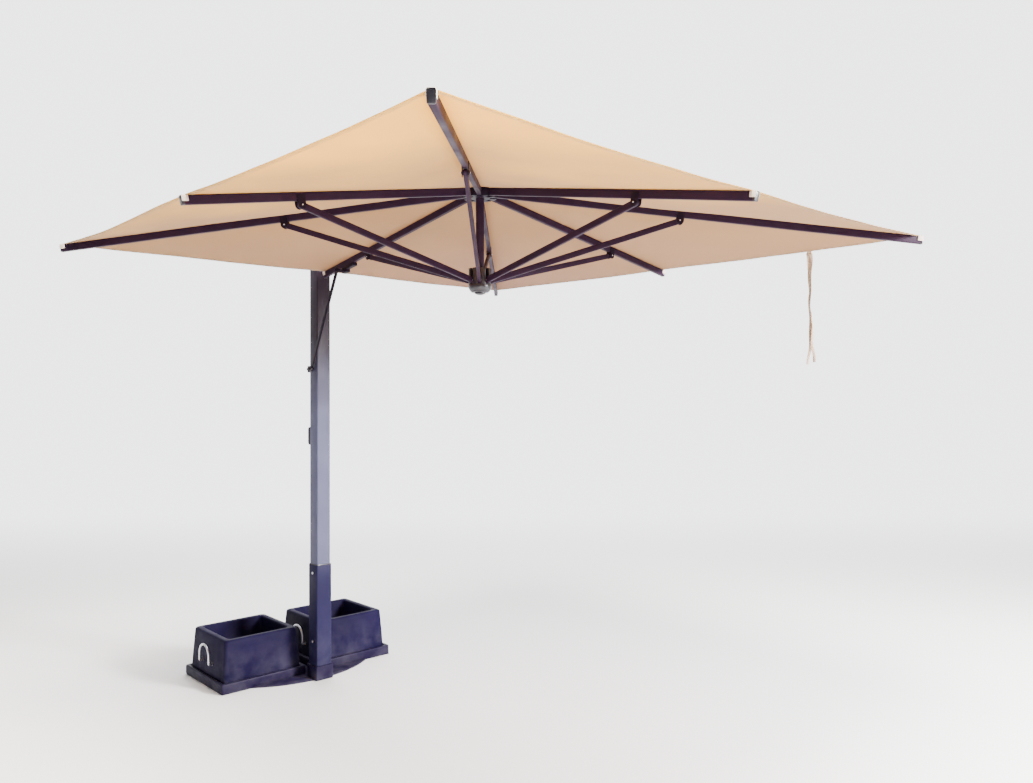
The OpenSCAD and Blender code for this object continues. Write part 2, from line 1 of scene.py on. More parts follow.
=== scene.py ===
"""Cantilever patio umbrella with a ballasted base: the looks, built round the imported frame.

Everything is in metres in the frame's own axes: +X from the mast to the canopy, +Z up.
Rib names are compass points with east along +X, so rib "w" ends at the mast.
"""
import json
import math
import random

import bmesh
import bpy
from mathutils import Matrix, Vector, noise

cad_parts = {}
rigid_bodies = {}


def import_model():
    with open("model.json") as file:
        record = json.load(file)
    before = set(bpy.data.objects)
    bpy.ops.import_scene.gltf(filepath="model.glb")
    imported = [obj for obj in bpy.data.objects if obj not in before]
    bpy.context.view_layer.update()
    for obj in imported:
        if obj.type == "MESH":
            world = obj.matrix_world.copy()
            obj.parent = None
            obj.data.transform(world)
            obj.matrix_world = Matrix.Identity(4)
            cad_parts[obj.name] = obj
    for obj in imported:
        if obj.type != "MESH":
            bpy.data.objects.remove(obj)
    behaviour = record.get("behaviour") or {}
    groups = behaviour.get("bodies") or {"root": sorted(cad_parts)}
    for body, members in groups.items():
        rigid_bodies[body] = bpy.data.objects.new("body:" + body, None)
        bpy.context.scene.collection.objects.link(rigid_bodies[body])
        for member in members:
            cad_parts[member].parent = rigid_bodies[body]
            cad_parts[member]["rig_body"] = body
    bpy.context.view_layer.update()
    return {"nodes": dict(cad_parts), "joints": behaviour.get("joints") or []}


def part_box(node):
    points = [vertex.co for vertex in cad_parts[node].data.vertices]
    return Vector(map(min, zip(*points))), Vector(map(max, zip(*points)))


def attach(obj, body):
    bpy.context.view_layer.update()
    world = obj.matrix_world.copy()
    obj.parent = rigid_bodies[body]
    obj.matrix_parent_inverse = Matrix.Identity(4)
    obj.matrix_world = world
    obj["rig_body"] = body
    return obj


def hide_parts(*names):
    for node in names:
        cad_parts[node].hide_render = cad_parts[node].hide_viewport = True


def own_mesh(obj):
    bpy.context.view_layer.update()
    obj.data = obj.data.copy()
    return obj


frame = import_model()

UP = Vector((0, 0, 1))
RIBS = ("e", "ne", "n", "nw", "w", "sw", "s", "se")
JOINTS = {j["name"]: j for j in frame["joints"]}
MM = 0.001

# Sizes that the frame's record doesn't hold
RIB_W, RIB_H = 22 * MM, 35 * MM
STRUT_W, STRUT_H = 16 * MM, 28 * MM
CLOTH_LIFT = 1.6 * MM
EYE_R = 66 * MM
EDGE_BACK = 6 * MM

# The room: its strength on the dim and the bright side, its tint, and the way to the bright side
ROOM_DIM, ROOM_BRIGHT = 0.42, 3.6
ROOM_TINT = (0.97, 0.975, 1.0, 1)
BRIGHT_SIDE = (-0.73, 0.68, 0)
FLOOR_FADE = (1.2, 7.5)


# ---------- Camera, light and floor ----------

def add_camera():
    cam = bpy.data.objects.new("camera", bpy.data.cameras.new("camera"))
    cam.data.sensor_width = 36
    cam.data.lens = 29.75
    cam.location = (4.639, -2.690, 1.757)
    cam.rotation_euler = (math.radians(89.92), 0, math.radians(46.93))
    bpy.context.scene.collection.objects.link(cam)
    bpy.context.scene.camera = cam


def add_light(name, place, target, size, power, color=(1, 1, 1)):
    data = bpy.data.lights.new(name, "AREA")
    data.shape = "DISK"
    data.size = size
    data.energy = power
    data.color = color
    lamp = bpy.data.objects.new(name, data)
    lamp.location = place
    lamp.rotation_euler = (Vector(target) - Vector(place)).to_track_quat("-Z", "Y").to_euler()
    bpy.context.scene.collection.objects.link(lamp)


def add_studio():
    """A pale room: bright beyond the umbrella, dimmer on the side that faces the mast's front."""
    world = bpy.data.worlds.new("studio")
    bpy.context.scene.world = world
    world.use_nodes = True
    tree = world.node_tree
    background = tree.nodes["Background"]
    background.inputs["Color"].default_value = ROOM_TINT
    coords = tree.nodes.new("ShaderNodeTexCoord")
    facing = tree.nodes.new("ShaderNodeVectorMath")
    facing.operation = "DOT_PRODUCT"
    facing.inputs[1].default_value = BRIGHT_SIDE
    spread = tree.nodes.new("ShaderNodeMapRange")
    spread.interpolation_type = "SMOOTHSTEP"
    spread.inputs["From Min"].default_value = 0.35
    spread.inputs["From Max"].default_value = 0.80
    spread.inputs["To Min"].default_value = ROOM_DIM
    spread.inputs["To Max"].default_value = ROOM_BRIGHT
    tree.links.new(coords.outputs["Generated"], facing.inputs[0])
    tree.links.new(facing.outputs["Value"], spread.inputs["Value"])
    tree.links.new(spread.outputs["Result"], background.inputs["Strength"])
    add_light("key", (7.0, 3.2, 3.4), (0, 0, 0.9), 1.8, 2400, (1.0, 0.98, 0.97))
    add_light("base_top", (-0.6, 0.25, 3.3), (-0.35, 0, 0), 0.8, 70, (1.0, 0.99, 0.98))
    add_light("top", (2.8, -1.8, 7.0), (1.8, -0.5, 2.5), 3.0, 1500, (1.0, 0.95, 0.86))
    add_light("floor_wash", (4.2, -1.8, 0.9), (2.2, -0.8, 2.6), 1.2, 60, (1.0, 0.93, 0.82))


def add_floor():
    mesh = bpy.data.meshes.new("floor")
    half = 60
    mesh.from_pydata([(-half, -half, 0), (half, -half, 0), (half, half, 0), (-half, half, 0)],
                     [], [(0, 1, 2, 3)])
    floor = bpy.data.objects.new("floor", mesh)
    floor.location = (0.5, 0, -0.0005)
    bpy.context.scene.collection.objects.link(floor)
    floor.data.materials.append(floor_material())


def floor_material():
    """Pale matt floor, with soft mottling, that brightens into the room's light side far out."""
    mat = bpy.data.materials.new("floor_pale")
    mat.use_nodes = True
    tree = mat.node_tree
    shader = tree.nodes["Principled BSDF"]
    shader.inputs["Roughness"].default_value = 0.9
    shader.inputs["Specular IOR Level"].default_value = 0.2
    coords = tree.nodes.new("ShaderNodeTexCoord")
    mottle = tree.nodes.new("ShaderNodeTexNoise")
    mottle.inputs["Scale"].default_value = 1.5
    shade = tree.nodes.new("ShaderNodeMapRange")
    shade.inputs["To Min"].default_value = 0.86
    shade.inputs["To Max"].default_value = 0.90
    tree.links.new(coords.outputs["Object"], mottle.inputs["Vector"])
    tree.links.new(mottle.outputs["Fac"], shade.inputs["Value"])
    tree.links.new(shade.outputs["Result"], shader.inputs["Base Color"])
    far = tree.nodes.new("ShaderNodeVectorMath")
    far.operation = "DOT_PRODUCT"
    far.inputs[1].default_value = BRIGHT_SIDE
    fade = tree.nodes.new("ShaderNodeMapRange")
    fade.interpolation_type = "SMOOTHSTEP"
    fade.inputs["From Min"].default_value = FLOOR_FADE[0]
    fade.inputs["From Max"].default_value = FLOOR_FADE[1]
    glow = tree.nodes.new("ShaderNodeEmission")
    glow.inputs["Color"].default_value = ROOM_TINT
    glow.inputs["Strength"].default_value = ROOM_BRIGHT
    both = tree.nodes.new("ShaderNodeMixShader")
    tree.links.new(coords.outputs["Object"], far.inputs[0])
    tree.links.new(far.outputs["Value"], fade.inputs["Value"])
    tree.links.new(fade.outputs["Result"], both.inputs[0])
    tree.links.new(shader.outputs[0], both.inputs[1])
    tree.links.new(glow.outputs[0], both.inputs[2])
    tree.links.new(both.outputs[0], tree.nodes["Material Output"].inputs["Surface"])
    return mat


# ---------- Node materials ----------

class Shade:
    """A material's node tree, with a short call for each kind of node."""

    def __init__(self, name, rough=0.5, metal=0.0, sheen=0.0, specular=0.5, coat=0.0):
        self.mat = bpy.data.materials.new(name)
        self.mat.use_nodes = True
        self.tree = self.mat.node_tree
        self.out = self.tree.nodes["Material Output"]
        self.bsdf = self.tree.nodes["Principled BSDF"]
        self.bsdf.inputs["Roughness"].default_value = rough
        self.bsdf.inputs["Metallic"].default_value = metal
        self.bsdf.inputs["Sheen Weight"].default_value = sheen
        self.bsdf.inputs["Specular IOR Level"].default_value = specular
        self.bsdf.inputs["Coat Weight"].default_value = coat
        self.coords = self.add("ShaderNodeTexCoord").outputs["Object"]

    def add(self, kind, **inputs):
        node = self.tree.nodes.new(kind)
        for key, value in inputs.items():
            self.plug(value, node.inputs[key.replace("_", " ")])
        return node

    def plug(self, value, socket):
        if isinstance(value, bpy.types.NodeSocket):
            self.tree.links.new(value, socket)
        else:
            socket.default_value = value

    def stretched(self, scale):
        node = self.add("ShaderNodeMapping", Vector=self.coords)
        node.inputs["Scale"].default_value = scale
        return node.outputs["Vector"]

    def noise(self, scale, detail=4.0, vector=None, distortion=0.0):
        node = self.add("ShaderNodeTexNoise", Scale=scale, Detail=detail, Distortion=distortion,
                        Vector=vector or self.coords)
        return node.outputs["Fac"]

    def wave(self, scale, axis, distortion=0.0):
        node = self.add("ShaderNodeTexWave", Scale=scale, Distortion=distortion, Vector=self.coords)
        node.bands_direction = axis
        return node.outputs["Fac"]

    def ramp(self, value, low, high, start=(0, 0, 0, 1), end=(1, 1, 1, 1)):
        node = self.add("ShaderNodeValToRGB", Fac=value)
        first, last = node.color_ramp.elements
        first.position, last.position = low, high
        first.color, last.color = start, end
        return node.outputs["Color"]

    def math(self, operation, a, b=0.0):
        node = self.add("ShaderNodeMath")
        node.operation = operation
        self.plug(a, node.inputs[0])
        self.plug(b, node.inputs[1])
        return node.outputs[0]

    def scaled(self, value, gain, offset):
        node = self.math("MULTIPLY_ADD", value, gain).node
        node.inputs[2].default_value = offset
        return node.outputs[0]

    def mix(self, share, a, b):
        node = self.add("ShaderNodeMix")
        node.data_type = "RGBA"
        self.plug(share, node.inputs["Factor"])
        self.plug(a, [s for s in node.inputs if s.name == "A" and s.type == "RGBA"][0])
        self.plug(b, [s for s in node.inputs if s.name == "B" and s.type == "RGBA"][0])
        return [s for s in node.outputs if s.type == "RGBA"][0]

    def place(self, axis):
        split = self.add("ShaderNodeSeparateXYZ", Vector=self.coords)
        return split.outputs[axis]

    def between(self, value, low, high):
        node = self.add("ShaderNodeMapRange", Value=value, From_Min=low, From_Max=high)
        return node.outputs["Result"]

    def edges(self, radius):
        """1 on sharp edges, 0 on flat faces."""
        soft = self.add("ShaderNodeBevel", Radius=radius)
        geo = self.add("ShaderNodeNewGeometry")
        dot = self.add("ShaderNodeVectorMath")
        dot.operation = "DOT_PRODUCT"
        self.plug(soft.outputs["Normal"], dot.inputs[0])
        self.plug(geo.outputs["Normal"], dot.inputs[1])
        return self.ramp(dot.outputs["Value"], 0.80, 0.99, (1, 1, 1, 1), (0, 0, 0, 1))

    def bump(self, height, strength, distance, under=None):
        node = self.add("ShaderNodeBump", Height=height, Strength=strength, Distance=distance)
        if under is not None:
            self.plug(under, node.inputs["Normal"])
        return node.outputs["Normal"]

    def finish(self, color, rough=None, normal=None):
        self.plug(color, self.bsdf.inputs["Base Color"])
        if rough is not None:
            self.plug(rough, self.bsdf.inputs["Roughness"])
        if normal is not None:
            self.plug(normal, self.bsdf.inputs["Normal"])
        return self.mat


def tone(color, gain):
    return tuple(min(1.0, c * gain) for c in color) + (1,)


def powder_coat(name, color, dusty=0.0, dust_top=0.5, wear=0.35, shine=0.08, painted_canopy_shade=None):
    """Satin powder coat: orange peel, cloudy gloss, rubbed edges, and dust near the ground.

    The colour given for high up is painted shade: the canopy's shadow painted into the coat from about 1.75 m
    up."""
    s = Shade(name, rough=0.45, specular=shine)
    cloud = s.noise(2.6, 5)
    base = s.mix(s.ramp(cloud, 0.35, 0.7), tone(color, 0.88), tone(color, 1.16))
    # Painted shade: the coat turns to a darker colour high up, standing in for the canopy's shadow
    if painted_canopy_shade:
        high = s.math("ADD", s.place("Z"), s.math("MULTIPLY", s.noise(5, 4), 0.25))
        base = s.mix(s.ramp(s.between(high, 1.75, 2.35), 0.0, 0.75), base, painted_canopy_shade + (1,))
    rubbed = s.math("MULTIPLY", s.edges(3 * MM), s.ramp(s.noise(38, 6), 0.42, 0.62))
    base = s.mix(s.math("MULTIPLY", rubbed, wear), base, tone(color, 2.6))
    streaks = s.ramp(s.noise(14, 6, s.stretched((9, 9, 0.7))), 0.60, 0.72)
    base = s.mix(s.math("MULTIPLY", streaks, 0.10), base, tone(color, 1.8))
    if dusty:
        low = s.between(s.place("Z"), dust_top, 0.0)
        patch = s.math("MULTIPLY", low, s.ramp(s.noise(11, 7), 0.36, 0.68))
        base = s.mix(s.math("MULTIPLY", patch, dusty), base, (0.16, 0.15, 0.18, 1))
    rough = s.scaled(s.between(s.noise(7, 6), 0.25, 0.75), 0.22, 0.38)
    return s.finish(base, rough, s.bump(s.noise(650, 2), 0.18, 0.5 * MM))


def moulded_plastic(name, color, rough_low, grain=900, dusty=0.0, dust_top=0.3, coat=0.0):
    """Moulded plastic: fine grain, scuffs, dust in the low parts."""
    s = Shade(name, rough=0.5, specular=0.45 if coat else 0.05, coat=coat)
    base = s.mix(s.ramp(s.noise(3.5, 6), 0.3, 0.72), tone(color, 0.82), tone(color, 1.25))
    scuff = s.ramp(s.noise(24, 8, s.stretched((1, 5, 2)), 1.5), 0.60, 0.70)
    base = s.mix(s.math("MULTIPLY", scuff, 0.16), base, tone(color, 2.4))
    rubbed = s.math("MULTIPLY", s.edges(5 * MM), s.ramp(s.noise(30, 6), 0.4, 0.62))
    base = s.mix(s.math("MULTIPLY", rubbed, 0.22), base, tone(color, 2.4))
    if dusty:
        low = s.between(s.place("Z"), dust_top, 0.0)
        patch = s.math("MULTIPLY", low, s.ramp(s.noise(9, 7), 0.35, 0.7))
        base = s.mix(s.math("MULTIPLY", patch, dusty), base, (0.14, 0.13, 0.17, 1))
    rough = s.scaled(s.noise(16, 6), 0.25, rough_low)
    return s.finish(base, rough, s.bump(s.noise(grain, 2), 0.25, 0.4 * MM))


def plated_steel(name, color):
    """Zinc plate: a fine brushed grain, dull patches and a little rust at the edges."""
    s = Shade(name, rough=0.3, metal=1.0)
    grain = s.noise(60, 4, s.stretched((1, 1, 22)))
    base = s.mix(s.ramp(s.noise(20, 6), 0.35, 0.7), tone(color, 0.75), tone(color, 1.1))
    rust = s.math("MULTIPLY", s.edges(2 * MM), s.ramp(s.noise(45, 7), 0.55, 0.68))
    base = s.mix(s.math("MULTIPLY", rust, 0.4), base, (0.20, 0.10, 0.05, 1))
    rough = s.scaled(grain, 0.3, 0.2)
    return s.finish(base, rough, s.bump(grain, 0.12, 0.3 * MM))


def gravel(name):
    """Mixed grey and brown stones with a speckled grain."""
    s = Shade(name, rough=0.85)
    cell = s.add("ShaderNodeTexVoronoi", Scale=34.0, Vector=s.coords).outputs["Color"]
    each = s.add("ShaderNodeSeparateColor", Color=cell).outputs["Red"]
    stone = s.ramp(each, 0.1, 0.9, (0.16, 0.13, 0.11, 1), (0.42, 0.38, 0.34, 1))
    grain = s.ramp(s.noise(90, 6), 0.3, 0.7, (0.10, 0.09, 0.08, 1), (0.5, 0.47, 0.43, 1))
    return s.finish(s.mix(0.35, stone, grain), None, s.bump(s.noise(240, 5), 0.6, 1.5 * MM))


def braided_cord(name):
    """Grey braid with dark turns between the strands."""
    s = Shade(name, rough=0.8)
    lay = s.wave(70, "DIAGONAL", 0.6)
    return s.finish(s.mix(lay, (0.16, 0.15, 0.15, 1), (0.5, 0.48, 0.45, 1)), None,
                    s.bump(lay, 0.5, 0.5 * MM))


def woven_cloth(name, lit_color, half_lit_color, far, yarn=0.0011, translucent=0.0, crease=1.0, sheen=0.15):
    """Woven canopy cloth: over-and-under yarns, cloudy dye, soft creases, light coming through, and painted
    light running from a lit through a half-lit to a shaded colour across the canopy.
    """
    s = Shade(name, rough=0.82, sheen=sheen, specular=0.25)
    turns = 2 * math.pi / 20 / yarn
    across, along = s.wave(turns, "X"), s.wave(turns, "Y")
    weave = s.math("MULTIPLY", across, along)
    drift = s.scaled(s.noise(1.3, 3), 0.4, -0.2)
    # Painted light and shade: the lit colour at the south-east corner, the shaded colour towards the
    # north-west and the mast
    spread = s.math("ADD", s.between(s.place("Y"), -1.6, 1.5), s.between(s.place("X"), 3.4, -0.3))
    share = s.math("ADD", s.math("MULTIPLY", spread, 0.5), drift)
    base = s.mix(s.ramp(share, 0.14, 0.46), lit_color + (1,), half_lit_color + (1,))
    base = s.mix(s.ramp(share, 0.50, 0.95), base, far + (1,))
    cloudy = s.ramp(s.noise(4.5, 6), 0.30, 0.75)
    base = s.mix(s.math("MULTIPLY", cloudy, 0.10), base, tone(half_lit_color, 0.72))
    base = s.mix(s.math("MULTIPLY", s.ramp(weave, 0.2, 0.9), 0.10), base, tone(half_lit_color, 0.80))
    fold = s.noise(2.2, 5, None, 0.8)
    normal = s.bump(fold, 0.25 * crease, 12 * MM)
    normal = s.bump(s.noise(26, 4), 0.12 * crease, 2 * MM, normal)
    normal = s.bump(weave, 0.35, 0.3 * MM, normal)
    s.finish(base, None, normal)
    if translucent:
        through = s.add("ShaderNodeBsdfTranslucent", Color=base, Normal=normal)
        both = s.add("ShaderNodeMixShader", Fac=translucent)
        s.tree.links.new(s.bsdf.outputs[0], both.inputs[1])
        s.tree.links.new(through.outputs[0], both.inputs[2])
        s.tree.links.new(both.outputs[0], s.out.inputs["Surface"])
    return s.mat


def thread(name, color):
    """Twisted sewing thread."""
    s = Shade(name, rough=0.7)
    twist = s.wave(160, "DIAGONAL")
    return s.finish(s.mix(twist, tone(color, 0.7), tone(color, 1.1)), None, s.bump(twist, 0.4, 0.2 * MM))


# Painted light on the canopy cloth: its colour where lit, half lit and in shade
CANOPY_LIT = (0.84, 0.49, 0.045)
CANOPY_HALF_LIT = (0.40, 0.228, 0.088)
CANOPY_SHADED = (0.34, 0.18, 0.105)
MAT = {
    "base": powder_coat("base_powder_coat", (0.008, 0.0045, 0.023), dusty=0.20, dust_top=0.10),
    "sleeve": powder_coat("sleeve_powder_coat", (0.011, 0.009, 0.036), dusty=0.15, dust_top=0.4),
    # The mast and boom coat carries painted shade high up, where the canopy's shadow falls
    "mast": powder_coat("mast_powder_coat", (0.062, 0.064, 0.118), wear=0.25, shine=0.2,
                        painted_canopy_shade=(0.013, 0.007, 0.014)),
    "frame": powder_coat("frame_powder_coat", (0.017, 0.007, 0.018), wear=0.1),
    "fitting": powder_coat("fitting_powder_coat", (0.008, 0.004, 0.010), wear=0.12),
    "steel": plated_steel("plated_steel", (0.70, 0.69, 0.74)),
    "black": moulded_plastic("black_nylon", (0.007, 0.005, 0.010), 0.26, coat=0.1),
    "box": moulded_plastic("box_plastic", (0.0052, 0.0030, 0.021), 0.46, 420, dusty=0.22, dust_top=0.3),
    "stone": gravel("ballast_gravel"),
    "cord": braided_cord("lift_cord_braid"),
    # Cloth, pocket and tape each get a lit, a half-lit and a shaded colour, laid out as painted light
    "cloth": woven_cloth("canopy_cloth", CANOPY_LIT, CANOPY_HALF_LIT, CANOPY_SHADED, translucent=0.42),
    "pocket": woven_cloth("pocket_cloth", (0.66, 0.58, 0.48), (0.56, 0.46, 0.38), (0.46, 0.37, 0.31),
                          yarn=0.0016, crease=0.4),
    "tape": woven_cloth("tie_tape", (0.42, 0.30, 0.20), (0.34, 0.24, 0.16), (0.28, 0.19, 0.14),
                        yarn=0.0013, crease=0.5),
    "thread": thread("stitch_thread", (0.55, 0.42, 0.28)),
}


# ---------- Meshes ----------

def new_piece(name, verts, faces, material, body, slot, smooth_angle=35):
    mesh = bpy.data.meshes.new(name)
    mesh.from_pydata([tuple(v) for v in verts], [], faces)
    mesh.validate()
    shell = bmesh.new()
    shell.from_mesh(mesh)
    bmesh.ops.remove_doubles(shell, verts=shell.verts, dist=1e-6)
    bmesh.ops.recalc_face_normals(shell, faces=shell.faces)
    shell.to_mesh(mesh)
    shell.free()
    for poly in mesh.polygons:
        poly.use_smooth = True
    mesh.set_sharp_from_angle(angle=math.radians(smooth_angle))
    mesh.materials.append(MAT[material])
    piece = bpy.data.objects.new(name, mesh)
    bpy.context.scene.collection.objects.link(piece)
    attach(piece, body)
    return piece


def rounded_ring(w, h, r, steps=5):
    """A rounded rectangle about the origin, as (across, up) pairs, anticlockwise."""
    r = min(r, w / 2 - 1e-5, h / 2 - 1e-5)
    ring = []
    for cx, cy, a0 in ((1, 1, 0), (-1, 1, 90), (-1, -1, 180), (1, -1, 270)):
        for k in range(steps + 1):
            a = math.radians(a0 + 90 * k / steps)
            ring.append((cx * (w / 2 - r) + r * math.cos(a), cy * (h / 2 - r) + r * math.sin(a)))
    return ring


def join_rings(rings, closed_ends=True):
    """Vertices and faces of a skin over rings that have the same number of points."""
    n = len(rings[0])
    verts = [p for ring in rings for p in ring]
    faces = []
    for k in range(len(rings) - 1):
        for i in range(n):
            j = (i + 1) % n
            faces.append((k * n + i, k * n + j, (k + 1) * n + j, (k + 1) * n + i))
    if closed_ends:
        faces.append(tuple(range(n))[::-1])
        faces.append(tuple(range((len(rings) - 1) * n, len(rings) * n)))
    return verts, faces


def bar(start, end, up, w, h, r, edge=1.5 * MM, rows=1):
    """Rounded bar from start to end, w across and h along up, with eased ends."""
    start, end = Vector(start), Vector(end)
    along = (end - start).normalized()
    side = along.cross(up).normalized()
    top = side.cross(along).normalized()
    length = (end - start).length
    places = [(0, edge), (edge * 0.3, edge * 0.3), (edge, 0)]
    places += [(edge + (length - 2 * edge) * k / (rows + 1), 0) for k in range(1, rows + 1)]
    places += [(length - edge, 0), (length - edge * 0.3, edge * 0.3), (length, edge)]
    rings = []
    for s, inset in places:
        ring = rounded_ring(w - 2 * inset, h - 2 * inset, max(r - inset * 0.5, 0.3 * MM))
        rings.append([start + along * s + side * a + top * b for a, b in ring])
    return join_rings(rings)


def lathe(center, axis, profile, steps=40, first=None):
    """Turns (distance along axis, radius) pairs round the axis through center."""
    axis = Vector(axis).normalized()
    u = (first or axis.orthogonal()).normalized()
    v = axis.cross(u)
    rings = []
    for s, r in profile:
        ring = []
        for k in range(steps):
            a = 2 * math.pi * k / steps
            ring.append(Vector(center) + axis * s + (u * math.cos(a) + v * math.sin(a)) * max(r, 1e-5))
        rings.append(ring)
    return join_rings(rings)


def screw_head(center, axis, r, height, hexagon=True):
    """A bolt head with a washer under it."""
    washer = lathe(center, axis, [(0, r * 1.35), (height * 0.22, r * 1.35), (height * 0.3, r * 1.2)], 24)
    sides = 6 if hexagon else 24
    head = lathe(center, axis, [(height * 0.28, r), (height * 0.85, r), (height, r * 0.82)], sides)
    return merge([washer, head])


def merge(parts):
    verts, faces = [], []
    for part_verts, part_faces in parts:
        base = len(verts)
        verts += part_verts
        faces += [tuple(i + base for i in f) for f in part_faces]
    return verts, faces


def tube_along(points, r, steps=12, closed_ends=True):
    """Round tube along points, turned with the path so that it doesn't twist."""
    points = [Vector(p) for p in points]
    rings, side = [], None
    for k, p in enumerate(points):
        ahead = points[min(k + 1, len(points) - 1)] - points[max(k - 1, 0)]
        ahead.normalize()
        side = ahead.orthogonal() if side is None else side - ahead * side.dot(ahead)
        side.normalize()
        other = ahead.cross(side)
        rings.append([p + (side * math.cos(a) + other * math.sin(a)) * r
                      for a in (2 * math.pi * i / steps for i in range(steps))])
    return join_rings(rings, closed_ends)


def eased_copy(node, width, material, segments=3, angle=30):
    """The CAD node with its flat faces made whole and its edges rounded."""
    source = frame["nodes"][node]
    shell = bmesh.new()
    shell.from_mesh(source.data)
    bmesh.ops.remove_doubles(shell, verts=shell.verts, dist=1e-5)
    bmesh.ops.dissolve_limit(shell, angle_limit=math.radians(1.0), verts=shell.verts, edges=shell.edges)
    mesh = bpy.data.meshes.new(node + "_finish")
    shell.to_mesh(mesh)
    shell.free()
    piece = bpy.data.objects.new(node + "_finish", mesh)
    bpy.context.scene.collection.objects.link(piece)
    ease = piece.modifiers.new("ease", "BEVEL")
    ease.width = width
    ease.segments = segments
    ease.limit_method = "ANGLE"
    ease.angle_limit = math.radians(angle)
    ease.harden_normals = False
    mesh.materials.clear()
    bpy.context.view_layer.update()
    done = bpy.data.meshes.new_from_object(piece.evaluated_get(bpy.context.evaluated_depsgraph_get()))
    piece.modifiers.clear()
    piece.data = done
    done.materials.clear()
    done.materials.append(MAT[material])
    for poly in done.polygons:
        poly.use_smooth = True
    done.set_sharp_from_angle(angle=math.radians(40))
    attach(piece, source["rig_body"])
    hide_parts(node)
    return piece


# ---------- Places worked out from the frame ----------

class Rib:
    """One rib's line in the frame: its pivot, bearing and slope."""

    def __init__(self, name):
        joint = JOINTS["canopy_fold" if name == "e" else f"rib_{name}_fold"]
        self.name = name
        self.body = f"rib_{name}"
        self.joint = joint["name"]
        self.pivot = Vector(joint["pos_m"])
        self.across = Vector(joint["axis"])
        self.out = self.across.cross(UP)
        points = [v.co for v in frame["nodes"][self.body].data.vertices]
        far = max((p - self.pivot).dot(self.out) for p in points)
        end = [p for p in points if (p - self.pivot).dot(self.out) > far - 8 * MM
               and abs((p - self.pivot).dot(self.across)) < RIB_W]
        middle = (max(p.z for p in end) + min(p.z for p in end)) / 2
        self.slope = math.atan2(self.pivot.z - middle, far - 4 * MM)
        self.along = self.out * math.cos(self.slope) - UP * math.sin(self.slope)
        self.top = self.along.cross(self.across) * -1
        if self.top.z < 0:
            self.top = -self.top
        self.length = max((p - self.pivot).dot(self.along) for p in points)

    def at(self, s, up=0.0, side=0.0):
        return self.pivot + self.along * s + self.top * up + self.across * side

    def cloth(self, r, lift=CLOTH_LIFT):
        """The cloth over the rib, r from the canopy's axis."""
        rise = RIB_H / 2 / math.cos(self.slope) + 1 * MM + lift
        drop = (r - AXIS_R) * math.tan(self.slope)
        flat = self.pivot + self.out * (r - AXIS_R)
        return Vector((flat.x, flat.y, self.pivot.z - drop + rise))

    def tip_r(self):
        return AXIS_R + (self.length - 8 * MM) * math.cos(self.slope)


AXIS = (Vector(JOINTS["canopy_fold"]["pos_m"]) + Vector(JOINTS["rib_w_fold"]["pos_m"])) / 2
AXIS_R = (Vector(JOINTS["canopy_fold"]["pos_m"]) - AXIS).length
RIB = {name: Rib(name) for name in RIBS}


# ---------- Tie straps ----------

# The routes' points, in millimetres, as the CAD solids have them
STRAP_LONG = [
    (2440, 1436, 2466), (2440, 1440, 2440), (2441, 1442, 2400), (2444, 1443, 2350),
    (2443, 1443, 2300), (2441, 1442, 2250), (2443, 1441, 2200), (2447, 1441, 2150),
    (2449, 1441, 2100), (2450, 1441, 2050), (2450, 1440, 2000), (2446, 1439, 1960),
    (2440, 1438, 1925), (2434, 1437, 1890),
]
STRAP_SHORT = [
    (2452, 1434, 2464), (2452, 1434, 2440), (2452, 1434, 2400), (2450, 1434, 2350),
    (2448, 1434, 2300), (2448, 1434, 2250), (2451, 1434, 2200), (2456, 1434, 2150),
    (2460, 1434, 2100), (2462, 1434, 2050), (2464, 1434, 2000), (2468, 1434, 1960),
    (2472, 1434, 1930), (2475, 1434, 1902),
]
STRAP_W = 17 * MM
STRAP_T = 1.8 * MM
STRAP_WIDE, STRAP_NARROWS = 1.4, 0.6
STRAP_TWIST = 4.2
STRAP_BOW = 2.2 * MM
STRAP_CUP = 0.8 * MM
TAB_TOP, TAB_FOOT = Vector((2.446, 1.4335, 2.487)), Vector((2.446, 1.4345, 2.459))


def smooth_route(route, steps=4):
    """A Catmull-Rom curve through the route, in metres."""
    p = [Vector(q) * MM for q in route]
    p = [p[0] * 2 - p[1]] + p + [p[-1] * 2 - p[-2]]
    line = []
    for k in range(1, len(p) - 2):
        for i in range(steps):
            t = i / steps
            line.append(0.5 * (2 * p[k] + (p[k + 1] - p[k - 1]) * t
                               + (2 * p[k - 1] - 5 * p[k] + 4 * p[k + 1] - p[k + 2]) * t ** 2
                               + (3 * p[k] - p[k - 1] - 3 * p[k + 1] + p[k + 2]) * t ** 3))
    line.append(p[-2])
    return line


def add_strap(name, route, turn, node):
    """A flat woven tape that hangs, twists a little and ends in a cut edge."""
    line = smooth_route(route)
    rings, centres = [], []
    for k, p in enumerate(line):
        share = k / (len(line) - 1)
        a = 0.75 + turn * STRAP_TWIST * share
        cup = STRAP_CUP * math.sin(share * 22)
        w = STRAP_W * (STRAP_WIDE - STRAP_NARROWS * share)
        sway = Vector((math.sin(share * 24 + turn), math.cos(share * 19), 0))
        p = p + sway * STRAP_BOW * min(1, 6 * share)
        across = Vector((math.cos(a), math.sin(a), 0))
        face = Vector((-math.sin(a), math.cos(a), 0))
        ring = rounded_ring(w, STRAP_T, 0.8 * MM, 2)
        rings.append([p + across * u + face * (v + cup * math.cos(u / w * math.pi)) for u, v in ring])
        centres.append(p)
    strap = new_piece(name, *join_rings(rings), "tape", "tie_straps", "tie_fabric")
    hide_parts(node)
    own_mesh(strap)


# ---------- Canopy ----------

CLOTH_T = 1.2 * MM
ROWS, COLUMNS = 44, 14
SAG_EDGE, SAG_MIDDLE = 9 * MM, 16 * MM
SCALLOP = 0.007


